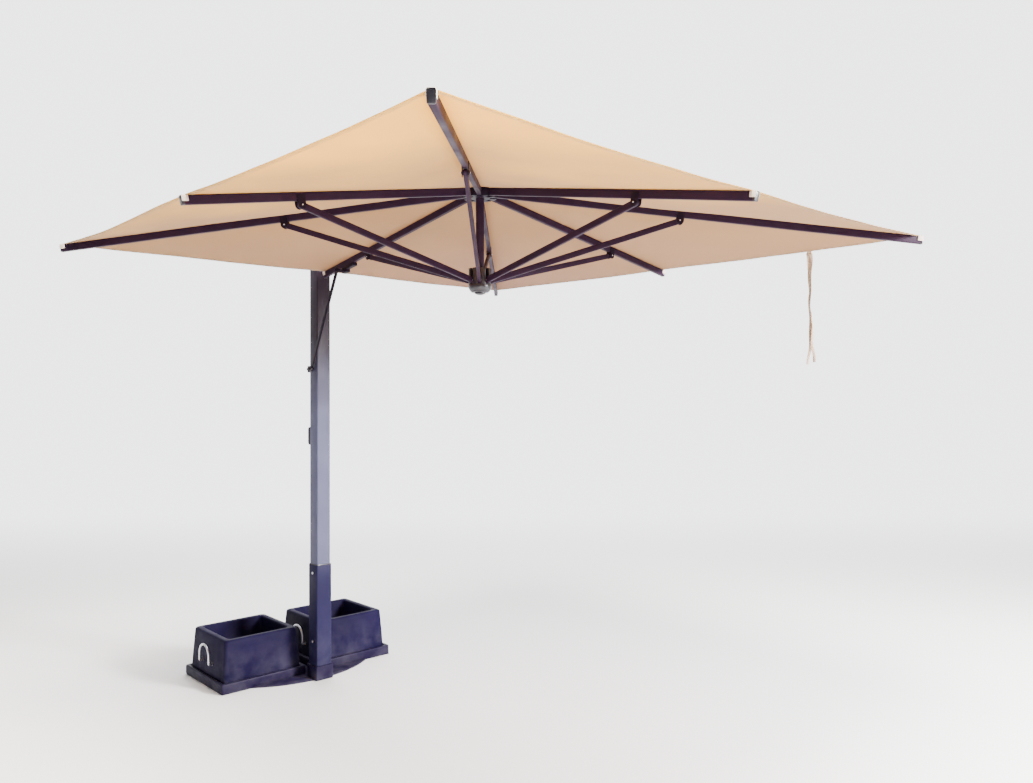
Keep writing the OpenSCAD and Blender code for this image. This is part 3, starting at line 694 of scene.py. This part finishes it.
def cloth_point(a, b, share_out, share_across):
    """A point of the cloth between ribs a and b, out from the eye and across from a to b."""
    belly = 4 * share_across * (1 - share_across)
    f = share_out * (1 - SCALLOP * belly * share_out ** 3)
    r_a = EYE_R + (a.tip_r() - EDGE_BACK - EYE_R) * f
    r_b = EYE_R + (b.tip_r() - EDGE_BACK - EYE_R) * f
    p = a.cloth(r_a).lerp(b.cloth(r_b), share_across)
    sag = SAG_EDGE * share_out + SAG_MIDDLE * math.sin(math.pi * share_out)
    ripple = noise.noise(Vector((p.x * 1.7, p.y * 1.7, 3.1))) * 6 * MM
    ripple += noise.noise(Vector((p.x * 6.5, p.y * 6.5, 8.4))) * 1.6 * MM
    p.z += -sag * belly + ripple * min(1, belly * 2) * min(1, share_out * 3)
    return p


def gore_grid(name):
    """Rows of points of one gore, from half way to one neighbour to half way to the other."""
    i = RIBS.index(name)
    here, before, after = RIB[name], RIB[RIBS[i - 1]], RIB[RIBS[(i + 1) % 8]]
    rows = []
    for k in range(ROWS + 1):
        f = k / ROWS
        row = [cloth_point(here, before, f, 0.5 * (1 - c / COLUMNS)) for c in range(COLUMNS)]
        row += [cloth_point(here, after, f, 0.5 * c / COLUMNS) for c in range(COLUMNS + 1)]
        rows.append(row)
    return rows


def thick_grid(rows, thickness):
    """A closed thin solid with the grid as its underside."""
    n, m = len(rows), len(rows[0])
    under = [p for row in rows for p in row]
    verts = under + [p + UP * thickness for p in under]
    top = n * m
    faces = []
    for k in range(n - 1):
        for c in range(m - 1):
            q = (k * m + c, k * m + c + 1, (k + 1) * m + c + 1, (k + 1) * m + c)
            faces.append(q)
            faces.append(tuple(i + top for i in reversed(q)))
    rim = [(0, c) for c in range(m)] + [(k, m - 1) for k in range(1, n)]
    rim += [(n - 1, c) for c in range(m - 2, -1, -1)] + [(k, 0) for k in range(n - 2, 0, -1)]
    ids = [k * m + c for k, c in rim]
    for a, b in zip(ids, ids[1:] + ids[:1]):
        faces.append((a, a + top, b + top, b))
    return verts, faces


def stitches(points, offset, length=6 * MM, gap=3.5 * MM, r=0.5 * MM):
    """Dashes of thread laid along a line of points."""
    parts, run, start = [], 0.0, None
    for a, b in zip(points, points[1:]):
        step = b - a
        done = 0.0
        while done < step.length:
            target = length if start is not None else gap
            need = target - run
            if done + need > step.length:
                run += step.length - done
                break
            done += need
            run = 0.0
            here = a + step.normalized() * done + offset
            if start is None:
                start = here
            else:
                parts.append(tube_along([start, (start + here) / 2 + offset.normalized() * r, here], r, 5))
                start = None
    return merge(parts)


def add_strap_tab(rib):
    """The folded tape tab sewn to the hem, which the two straps hang from."""
    tab = bar(TAB_FOOT, TAB_TOP, Vector((0, 1, 0)), 27 * MM, 4.2 * MM, 1.4 * MM, rows=3)
    return new_piece("tie_tab", *tab, "tape", rib.body, "tie_fabric")


def add_gore(name):
    rib = RIB[name]
    rows = gore_grid(name)
    gore = new_piece(f"canopy_{name}_cloth", *thick_grid(rows, CLOTH_T), "cloth", rib.body,
                     "canopy_fabric", 50)
    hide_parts(f"canopy_{name}")
    # the hem: the edge turned under, with two rows of stitches
    hem_w, hem_t = 28 * MM, 2.4 * MM
    edge = rows[-1]
    inner = [p + (q - p).normalized() * hem_w for p, q in zip(edge, rows[-2])]
    outward = [(p - q).normalized() for p, q in zip(edge, rows[-2])]
    profile = []
    for p, q, o in zip(edge, inner, outward):
        profile.append([q - UP * 0.2 * MM, p - UP * hem_t * 0.5, p + o * 1.6 * MM - UP * 0.4 * MM,
                        p + o * 1.8 * MM + UP * 0.8 * MM, p + UP * (CLOTH_T + 1.2 * MM),
                        q + UP * (CLOTH_T + 0.3 * MM)])
    hem = new_piece(f"canopy_{name}_hem", *join_rings(profile), "cloth", rib.body, "canopy_fabric", 50)
    lines = []
    for share in (0.25, 0.85):
        row = [p.lerp(q, share) for p, q in zip(edge, inner)]
        lines.append(stitches(row, -UP * (hem_t * 0.35 + 0.7 * MM)))
        lines.append(stitches(row, UP * (CLOTH_T + 1.2 * MM)))
    threads = new_piece(f"canopy_{name}_hem_thread", *merge(lines), "thread", rib.body, "canopy_fabric", 60)
    # the flat-felled seam over the rib
    seam = [row[COLUMNS] for row in rows]
    strip = []
    for p in seam:
        base = p + UP * CLOTH_T
        strip.append([base + rib.across * 8 * MM, base + rib.across * 7 * MM + UP * 1.1 * MM,
                      base - rib.across * 7 * MM + UP * 1.1 * MM, base - rib.across * 8 * MM,
                      base - rib.across * 7 * MM - UP * 0.4 * MM, base + rib.across * 7 * MM - UP * 0.4 * MM])
    fell = new_piece(f"canopy_{name}_seam", *join_rings(strip), "cloth", rib.body, "canopy_fabric", 50)
    lines = [stitches([p + rib.across * k * 5 * MM for p in seam], UP * (CLOTH_T + 1.2 * MM))
             for k in (-1, 1)]
    seam_thread = new_piece(f"canopy_{name}_seam_thread", *merge(lines), "thread", rib.body,
                            "canopy_fabric", 60)
    sewn = [hem, threads, fell, seam_thread]
    if name == "ne":
        sewn.append(add_strap_tab(rib))
    for piece in [gore] + sewn:
        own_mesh(piece)


def add_tip_pocket(rib):
    """The reinforced corner of the cloth, folded over the rib's tip and down its sides."""
    length, wall = 25 * MM, 1.0 * MM
    w, h = RIB_W / 2 + 1.3 * MM, RIB_H / 2 + 1.3 * MM
    start, end = rib.at(rib.length - length), rib.at(rib.length + 0.4 * MM)
    skirt, ease = 4 * MM, 3 * MM
    saddle = [(-w, -skirt), (-w, h - skirt), (-w + ease, h), (w - ease, h), (w, h - skirt), (w, -skirt)]
    rings = []
    for share in (0, 0.06, 0.3, 0.6, 0.94, 1.0):
        puff = 1 + 0.05 * math.sin(math.pi * share)
        lip = 0 if 0 < share < 1 else -0.5 * wall
        outside = [(a * puff + math.copysign(wall + lip, a), b * puff + (wall + lip if b > 0 else 0))
                   for a, b in saddle]
        inside = [(a * puff, b * puff) for a, b in reversed(saddle)]
        p = start.lerp(end, share)
        rings.append([p + rib.across * a + rib.top * b for a, b in outside + inside])
    new_piece(f"rib_{rib.name}_pocket", *join_rings(rings), "pocket", rib.body, "canopy_fabric", 50)


# ---------- Ribs and struts ----------

def add_rib(rib):
    end = rib.length - 9 * MM
    tube = bar(rib.at(-14 * MM), rib.at(end), rib.top, RIB_W, RIB_H, 3.2 * MM, rows=6)
    tube = new_piece(f"rib_{rib.name}_tube", *tube, "frame", rib.body, "frame_aluminium")
    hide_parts(f"rib_{rib.name}")
    cap = bar(rib.at(end - 2 * MM), rib.at(rib.length), rib.top, RIB_W + 2 * MM, RIB_H + 2 * MM, 5 * MM,
              3 * MM)
    rivet = [screw_head(rib.at(rib.length - 4 * MM, 0, side * (RIB_W / 2 + 1 * MM)), rib.across * side,
                        2.4 * MM, 1.5 * MM, False) for side in (-1, 1)]
    new_piece(f"rib_{rib.name}_cap", *merge([cap] + rivet), "black", rib.body, "black_plastic")
    strut_joint = JOINTS[f"strut_{rib.name}_swing"]
    hinge = Vector(strut_joint["pos_m"])
    s = (hinge - rib.pivot).dot(rib.along)
    plates, t = [], 3 * MM
    for side in (-1, 1):
        y = side * (RIB_W / 2 + t / 2)
        plates.append(fork_plate(rib, s, y, t))
        plates.append(screw_head(hinge + rib.across * (y + side * t / 2), rib.across * side,
                                 4.6 * MM, 3.2 * MM))
        for x in (-11, 11):
            plates.append(screw_head(rib.at(s + x * MM, 1 * MM, y + side * t / 2), rib.across * side,
                                     2.2 * MM, 1.2 * MM, False))
    new_piece(f"rib_{rib.name}_fork", *merge(plates), "fitting", rib.body, "fitting_metal")
    pivot_r = 5.5 * MM
    rim = [(-0.2 * MM, pivot_r), (0.2 * MM, pivot_r), (0.3 * MM, pivot_r * 0.8)]
    washers = [lathe(rib.pivot + rib.across * side * RIB_W / 2, rib.across * side, rim, 24)
               for side in (-1, 1)]
    new_piece(f"rib_{rib.name}_bush", *merge(washers), "black", rib.body, "black_plastic")


def fork_plate(rib, s, y, t):
    """A plate on the rib's side that carries the strut's pivot: straight at the top, round below."""
    outline = [(-18, 8), (18, 8)]
    outline += [(18 * math.cos(math.radians(a)), -32 + 18 * math.sin(math.radians(a)))
                for a in range(0, -181, -15)]
    rings = []
    for depth, inset in ((-0.5, 0.93), (-0.42, 1.0), (0.42, 1.0), (0.5, 0.93)):
        ring = [rib.at(s + x * inset * MM, (-12 + (z + 12) * inset) * MM, y + depth * t) for x, z in outline]
        rings.append(ring)
    return join_rings(rings)


def add_strut(rib):
    joint = JOINTS[f"strut_{rib.name}_swing"]
    hinge = Vector(joint["pos_m"])
    node = frame["nodes"][f"strut_{rib.name}"]
    points = [v.co for v in node.data.vertices]
    far = max(points, key=lambda p: (p - hinge).length)
    reach = (far - hinge).length - STRUT_H / 2
    foot = [p for p in points if (p - hinge).length > reach - 5 * MM]
    middle = sum(foot, Vector()) / len(foot)
    middle -= rib.across * (middle - hinge).dot(rib.across)
    along = (middle - hinge).normalized()
    top = rib.across.cross(along)
    if top.z < 0:
        top = -top
    length = reach
    rings = []
    stations = [(-14, 3.0), (-13, 6.5), (-9, 11), (-4, 13.4), (0, 14)]
    shape = [(s * MM, h * MM) for s, h in stations]
    shape += [(length * k / 6, 14 * MM) for k in range(1, 6)]
    shape += [(length - s * MM, h * MM) for s, h in reversed(stations)]
    for s, half in shape:
        ring = rounded_ring(STRUT_W, 2 * half, min(3 * MM, half * 0.8), 4)
        p = hinge + along * s
        rings.append([p + rib.across * a + top * b for a, b in ring])
    boss = lathe(hinge - rib.across * 10.5 * MM, rib.across, [(0, 9 * MM), (21 * MM, 9 * MM)], 28)
    strut = new_piece(f"strut_{rib.name}_bar", *merge([join_rings(rings), boss]), "frame",
                      f"strut_{rib.name}", "frame_aluminium")
    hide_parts(f"strut_{rib.name}")
    pin = lathe(hinge - rib.across * 19 * MM, rib.across,
                [(0, 2.2 * MM), (0.8 * MM, 3 * MM), (37.2 * MM, 3 * MM), (38 * MM, 2.2 * MM)], 20)
    eye = hinge + along * length
    heads = [(0, 4 * MM), (0.4 * MM, 5 * MM), (STRUT_W + 0.2 * MM, 5 * MM), (STRUT_W + 0.6 * MM, 4 * MM)]
    rivet = lathe(eye - rib.across * (STRUT_W / 2 + 0.3 * MM), rib.across, heads, 20)
    new_piece(f"strut_{rib.name}_pin", *merge([pin, rivet]), "steel", f"strut_{rib.name}",
              "bright_steel")


# ---------- Base ----------

def box_rings(low, high, profile, steps=8):
    """Rounded-rectangle rings between two corners: (inset, z, corner radius) each."""
    cx, cy = (low[0] + high[0]) / 2, (low[1] + high[1]) / 2
    w, d = high[0] - low[0], high[1] - low[1]
    rings = []
    for inset, z, r in profile:
        ring = rounded_ring(w - 2 * inset, d - 2 * inset, r, steps)
        rings.append([Vector((cx + a, cy + b, z)) for a, b in ring])
    return rings


def add_ballast_box(side):
    node = f"ballast_box_{side}"
    low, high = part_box(node)
    z0, z1 = low.z, high.z
    lean, wall, edge, lip = 17 * MM, 40 * MM, 11 * MM, 9 * MM
    steps = 6
    profile = [(6 * MM, z0, 16 * MM), (1.5 * MM, z0 + 3 * MM, 18 * MM)]
    tall = z1 - z0
    for k in range(1, steps + 1):
        share = k / steps * (1 - edge / tall)
        profile.append((lean * share - 1.2 * MM * math.sin(math.pi * share), z0 + tall * share, 20 * MM))
    for a in (25, 50, 75, 90):
        t = math.radians(a)
        profile.append((lean + edge * (1 - math.cos(t)), z1 - edge + edge * math.sin(t), 20 * MM))
    for a in (0, 30, 60, 85):
        t = math.radians(a)
        profile.append((lean + wall - lip + lip * math.sin(t), z1 - lip + lip * math.cos(t), 24 * MM))
    profile += [(lean + wall + 2 * MM, z1 - 60 * MM, 24 * MM), (lean + wall + 5 * MM, z0 + 60 * MM, 24 * MM),
                (lean + wall + 12 * MM, z0 + 22 * MM, 22 * MM)]
    verts, faces = join_rings(box_rings(low, high, profile))
    body = f"box_{side}"
    box = new_piece(f"box_{side}_shell", verts, faces, "box", body, "box_plastic", 45)
    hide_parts(node)


def add_ballast(side):
    """Pebbles heaped on a bed of the same gravel in the box."""
    node = f"ballast_fill_{side}"
    low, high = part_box(node)
    rng = random.Random(11 if side == "north" else 12)
    bed = join_rings(box_rings(low, high, [(0, low.z, 20 * MM), (0, high.z - 16 * MM, 20 * MM),
                                           (6 * MM, high.z - 14 * MM, 20 * MM)]))
    parts = [bed]
    ball = bmesh.new()
    bmesh.ops.create_icosphere(ball, subdivisions=2, radius=1)
    shape_verts = [v.co.copy() for v in ball.verts]
    shape_faces = [tuple(v.index for v in f.verts) for f in ball.faces]
    ball.free()
    for _ in range(330):
        r = rng.uniform(9, 17) * MM
        at = Vector((rng.uniform(low.x + r, high.x - r), rng.uniform(low.y + r, high.y - r),
                     high.z - rng.uniform(9, 17) * MM))
        turn = Matrix.Rotation(rng.uniform(0, 6.28), 3, "Z") @ Matrix.Rotation(rng.uniform(-0.6, 0.6), 3, "X")
        stretch = Matrix.Diagonal((rng.uniform(0.9, 1.35), rng.uniform(0.8, 1.1), rng.uniform(0.5, 0.8)))
        seed = Vector((rng.uniform(0, 99), rng.uniform(0, 99), 0))
        verts = []
        for v in shape_verts:
            lump = 1 + 0.22 * noise.noise(v * 1.3 + seed)
            p = at + turn @ (stretch @ (v * lump * r))
            verts.append(Vector((p.x, p.y, min(p.z, high.z))))
        parts.append((verts, shape_faces))
    stones = new_piece(f"box_{side}_pebbles", *merge(parts), "stone", f"box_{side}", "ballast", 60)
    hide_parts(node)


def handle_path(cx, half_w, y_wall, y_rod, z0, leg, end):
    """The rod's centre line: out of the wall, up one leg, over the arch and back."""
    bend = 8 * MM
    turns = [math.radians(a) for a in (20, 45, 70, 90)]
    foot = [(y_rod - end * bend * (1 - math.sin(a)), z0 + bend * (1 - math.cos(a))) for a in turns]
    left = [Vector((cx - half_w, y, z)) for y, z in [(y_wall, z0)] + foot + [(y_rod, z0 + leg)]]
    arch = []
    for degrees in range(10, 180, 10):
        a = math.radians(degrees)
        arch.append(Vector((cx - half_w * math.cos(a), y_rod, z0 + leg + half_w * math.sin(a))))
    right = [Vector((cx + half_w, p.y, p.z)) for p in reversed(left)]
    return left + arch + right


def add_handles(side):
    """Two bent-rod handles with welded plates and screws."""
    node = f"box_handles_{side}"
    low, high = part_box(node)
    box_low, box_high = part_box(f"ballast_box_{side}")
    r, half_w, leg, plate_t = 6 * MM, 65 * MM, 45 * MM, 2.5 * MM
    cx = (box_low.x + box_high.x) / 2
    z0 = low.z + r
    parts, plates = [], []
    for end in (-1, 1):
        y_rod = high.y - r if end > 0 else low.y + r
        y_wall = (box_high.y if end > 0 else box_low.y) - end * 9 * MM
        points = handle_path(cx, half_w, y_wall, y_rod, z0, leg, end)
        parts.append(tube_along(points, r, 14))
        for k in (-1, 1):
            middle = Vector((cx + k * half_w, y_wall + end * 2 * MM, z0 + 2 * MM))
            plates.append(bar(middle - Vector((0, 0, 19 * MM)), middle + Vector((0, 0, 19 * MM)),
                              Vector((0, end, 0)), 26 * MM, plate_t, 1 * MM))
            for dz in (-12, 14):
                plates.append(screw_head(middle + Vector((0, end * plate_t / 2, dz * MM)), (0, end, 0),
                                         3 * MM, 2 * MM, False))
    handles = new_piece(f"box_{side}_handles", *merge(parts), "steel", f"box_{side}", "bright_steel")
    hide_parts(node)
    new_piece(f"box_{side}_handle_plates", *merge(plates), "fitting", f"box_{side}", "fitting_metal")


def add_tray(side):
    node = f"tray_{side}"
    low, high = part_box(node)
    wall, floor_t, edge = 23 * MM, 8 * MM, 7 * MM
    z0, z1 = low.z, high.z
    profile = [(1 * MM, z0, 14 * MM), (0, z0 + 2 * MM, 15 * MM), (0.5 * MM, z1 - edge, 16 * MM)]
    for a in (30, 60, 90):
        t = math.radians(a)
        profile.append((0.5 * MM + edge * (1 - math.cos(t)), z1 - edge + edge * math.sin(t), 16 * MM))
    profile += [(wall - 4 * MM, z1 - 0.5 * MM, 12 * MM), (wall - 1 * MM, z1 - 3 * MM, 11 * MM),
                (wall - 0.5 * MM, z0 + floor_t + 6 * MM, 10 * MM), (wall + 4 * MM, z0 + floor_t, 10 * MM)]
    tray = new_piece(f"tray_{side}_shell", *join_rings(box_rings(low, high, profile)), "base", "root",
                     "base_steel", 45)
    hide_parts(node)


# ---------- Mast and boom ----------

def add_mast():
    low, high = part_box("mast_tube")
    w = high.x - low.x
    foot, top = Vector((0, 0, low.z)), Vector((0, 0, high.z))
    tube = bar(foot, top, Vector((0, 1, 0)), w, w, 7 * MM, 2 * MM, rows=8)
    boss_z = Vector(JOINTS["knob_turn"]["pos_m"]).z
    profile = [(-1 * MM, 13 * MM), (2 * MM, 13 * MM), (3 * MM, 10 * MM), (11 * MM, 10 * MM),
               (11.4 * MM, 9.4 * MM)]
    boss = lathe((0, -w / 2, boss_z), (0, -1, 0), profile, 28)
    mast = new_piece("mast_body", *merge([tube, boss]), "mast", "root", "mast_aluminium", 40)
    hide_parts("mast_tube")
    low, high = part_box("mast_sleeve")
    w = high.x - low.x
    sleeve = bar((0, 0, low.z), (0, 0, high.z), Vector((0, 1, 0)), w, w, 6 * MM, 1.6 * MM, rows=4)
    seal = bar((0, 0, high.z - 1 * MM), (0, 0, high.z + 5 * MM), Vector((0, 1, 0)), w - 3 * MM, w - 3 * MM,
               6 * MM, 2 * MM)
    sleeve = new_piece("sleeve_body", *sleeve, "sleeve", "root", "base_steel", 40)
    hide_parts("mast_sleeve")
    new_piece("sleeve_seal", *seal, "black", "root", "black_plastic", 40)


def add_boom():
    node = frame["nodes"]["boom_tube"]
    points = [v.co for v in node.data.vertices]
    back = [p for p in points if p.x < min(q.x for q in points) + 12 * MM]
    front = [p for p in points if p.x > max(q.x for q in points) - 12 * MM]
    start, end = sum(back, Vector()) / len(back), sum(front, Vector()) / len(front)
    along = (end - start).normalized()
    start, end = start - along * 3 * MM, end + along * 3 * MM
    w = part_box("boom_tube")[1].y * 2
    boom = bar(start, end, UP, w, 90 * MM, 6 * MM, rows=6)
    boom = new_piece("boom_body", *boom, "mast", "root", "mast_aluminium", 40)
    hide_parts("boom_tube")


def add_runner_cup():
    """The smooth cup round the runner's foot, below the struts' ends."""
    low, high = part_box("runner")
    centre = Vector(((low.x + high.x) / 2, (low.y + high.y) / 2, low.z))
    r = (high.x - low.x) / 2 + 1.6 * MM
    outline = [(-1.5, 24), (-1.5, 17), (1, 13), (6, 8.5), (12, 4), (18, 1), (24, 0), (36, 0),
               (37.5, 0.6), (38, 1.4), (37, 1.9)]
    profile = [(z * MM, r - inset * MM) for z, inset in outline]
    new_piece("runner_cup", *lathe(centre, UP, profile, 64), "black", "runner", "black_plastic")


# ---------- Build ----------

add_camera()
add_studio()
add_floor()
add_strap("tie_long", STRAP_LONG, 0.9, "tie_strap_long")
add_strap("tie_short", STRAP_SHORT, -0.8, "tie_strap_short")
for rib_name in RIBS:
    add_gore(rib_name)
    add_tip_pocket(RIB[rib_name])
    add_rib(RIB[rib_name])
    add_strut(RIB[rib_name])
for box_side in ("north", "south"):
    add_ballast_box(box_side)
    add_ballast(box_side)
    add_handles(box_side)
    add_tray(box_side)
add_mast()
add_boom()
add_runner_cup()
EASED = (
    ("foot_block", 5, "base", "base_steel"), ("base_plate", 2, "base", "base_steel"),
    ("sleeve_bolts", 0.8, "steel", "bright_steel"), ("mast_head", 1.5, "fitting", "fitting_metal"),
    ("head_bolts", 1, "steel", "bright_steel"), ("boom_end_cap", 1.5, "black", "black_plastic"),
    ("boom_hanger", 1.5, "fitting", "fitting_metal"), ("hanger_bolts", 0.8, "steel", "bright_steel"),
    ("winch_housing", 2.5, "fitting", "fitting_metal"), ("winch_spindle", 1, "steel", "bright_steel"),
    ("head_pulley", 0.6, "black", "black_plastic"), ("boom_pulley", 0.6, "black", "black_plastic"),
    ("centre_pole", 0.8, "frame", "frame_aluminium"), ("upper_hub", 1.5, "fitting", "fitting_metal"),
    ("hub_pins", 0.6, "fitting", "fitting_metal"), ("canopy_cap", 1.5, "black", "black_plastic"),
    ("runner", 1.5, "black", "black_plastic"), ("runner_cap", 1, "black", "black_plastic"),
    ("stay_bar", 1.2, "fitting", "fitting_metal"), ("stay_bracket", 1.5, "fitting", "fitting_metal"),
    ("stay_knob", 1.5, "black", "black_plastic"), ("lift_cord", 0.3, "cord", "cord"),
)
for cad_node, ease_mm, finish_name, slot_name in EASED:
    eased_copy(cad_node, ease_mm * MM, finish_name)
